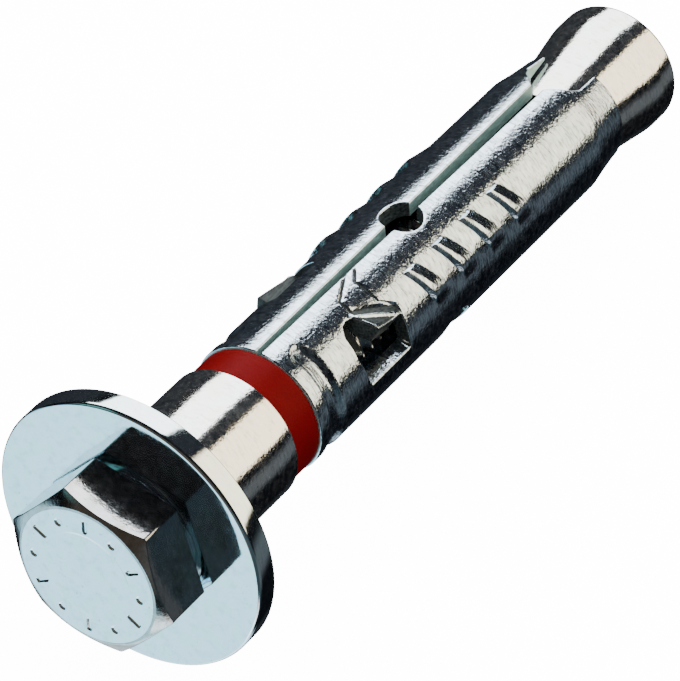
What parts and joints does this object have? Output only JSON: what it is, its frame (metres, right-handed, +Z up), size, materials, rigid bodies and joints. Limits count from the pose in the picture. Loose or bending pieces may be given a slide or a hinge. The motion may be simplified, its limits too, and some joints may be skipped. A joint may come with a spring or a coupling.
{
  "type": "sleeve anchor",
  "caption": "Heavy-duty sleeve anchor: hexagon head bolt, washer, distance sleeve, plastic ring, slotted expansion sleeve with barbs and teeth, and cone nut.",
  "frame": {"origin": "centre of the bounding box, on the surface that the anchor lies on", "axes": "+X from the bolt head to the cone, +Z up; the anchor's own axis dips 5.1 degrees towards the cone because it lies on the washer's rim and the cone's rim"},
  "size_m": [0.0782, 0.024, 0.024],
  "materials": {
    "zinc_blue": "bright zinc plate with a bluish passivation",
    "zinc_bright": "bright zinc plate",
    "zinc_warm": "bright zinc plate with a warm tint",
    "plastic_red": "moulded red plastic, slightly glossy"
  },
  "bodies": {
    "root": {"hex_bolt": "zinc_blue", "washer": "zinc_blue", "distance_sleeve": "zinc_warm", "compression_ring": "plastic_red", "expansion_sleeve": "zinc_bright", "cone_nut": "zinc_warm"}
  },
  "joints": []
}
